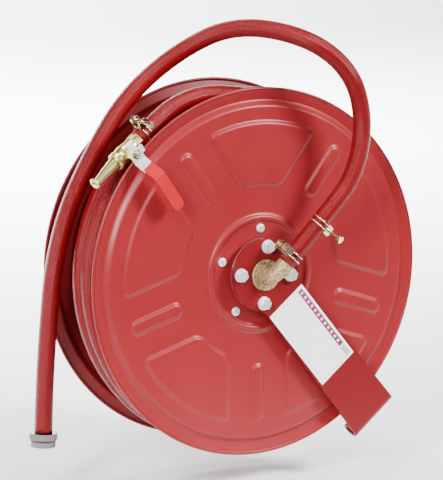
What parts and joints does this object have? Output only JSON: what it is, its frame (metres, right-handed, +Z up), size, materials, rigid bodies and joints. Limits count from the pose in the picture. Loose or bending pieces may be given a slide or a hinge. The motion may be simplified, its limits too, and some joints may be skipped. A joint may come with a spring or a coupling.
{
  "type": "fire hose reel",
  "caption": "Swinging fire hose reel: pressed steel drum on a hollow axle, strap arm with pivot eye, wound hose with valve nozzle and a feed hose with end coupling.",
  "frame": {"origin": "centre of the wall arm's pivot eye", "axes": "+Y along the reel axis from the arm's side to the rear disc, +Z up as hung, +X to the right seen from the front"},
  "size_m": [0.5876, 0.2511, 0.6387],
  "materials": {
    "red_paint": "semi-gloss enamel",
    "bright_zinc": "bright zinc",
    "yellow_zinc": "passivated zinc",
    "cast_bronze": "rough cast",
    "light_brass": "turned",
    "steel": "turned",
    "bush_bronze": "sintered",
    "hose_rubber": "glossy cover with fine cord pattern",
    "black_rubber": "matte",
    "seat_plastic": "matte",
    "red_grip": "dipped",
    "label_white": "satin",
    "chrome": "polished"
  },
  "bodies": {
    "bracket": {"wall_arm": "red_paint", "arm_bolts": "bright_zinc", "arm_washers": "bright_zinc", "label_plate": "label_white", "stub_axle": "steel", "circlip": "steel", "inlet_elbow": "cast_bronze", "elbow_gasket": "black_rubber", "inlet_hose": "hose_rubber", "lower_clamp_wires": "yellow_zinc", "lower_clamp_screw": "yellow_zinc", "upper_clamp_wires": "yellow_zinc", "upper_clamp_screw": "yellow_zinc", "coupling_tail": "chrome", "coupling_collar": "chrome", "coupling_seal": "black_rubber", "coupling_ring": "chrome"},
    "drum": {"front_flange": "red_paint", "back_flange": "red_paint", "drum_core": "red_paint", "hub_barrel": "red_paint", "hub_screws_front": "bright_zinc", "hub_screws_back": "bright_zinc", "nozzle_clamp_wires": "yellow_zinc", "nozzle_clamp_screw": "yellow_zinc", "valve_body": "light_brass", "valve_tail": "light_brass", "gland_nut": "light_brass", "union_ring": "light_brass", "nozzle_cone": "light_brass", "hub_outlet": "light_brass", "front_thrust_washer": "steel", "rear_thrust_washer": "steel", "front_bush": "bush_bronze", "rear_bush": "bush_bronze", "inner_hose": "hose_rubber", "hose_winding": "hose_rubber", "hose_tail": "hose_rubber", "water_seals": "black_rubber", "ball_seats": "seat_plastic"},
    "valve": {"ball": "chrome", "valve_stem": "steel", "lever": "bright_zinc", "lever_grip": "red_grip", "lever_nut": "bright_zinc"}
  },
  "joints": [
    {"name": "drum_turn", "type": "hinge", "parent": "bracket", "child": "drum", "pos_m": [-0.1899, 0.0785, 0.22313], "axis": [0, 1, 0], "range_deg": [-135, 165]},
    {"name": "nozzle_valve", "type": "hinge", "parent": "drum", "child": "valve", "pos_m": [-0.4024, 0.0285, 0.40393], "axis": [-0.1686, 0.9781, -0.1216], "range_deg": [0, 90]}
  ]
}
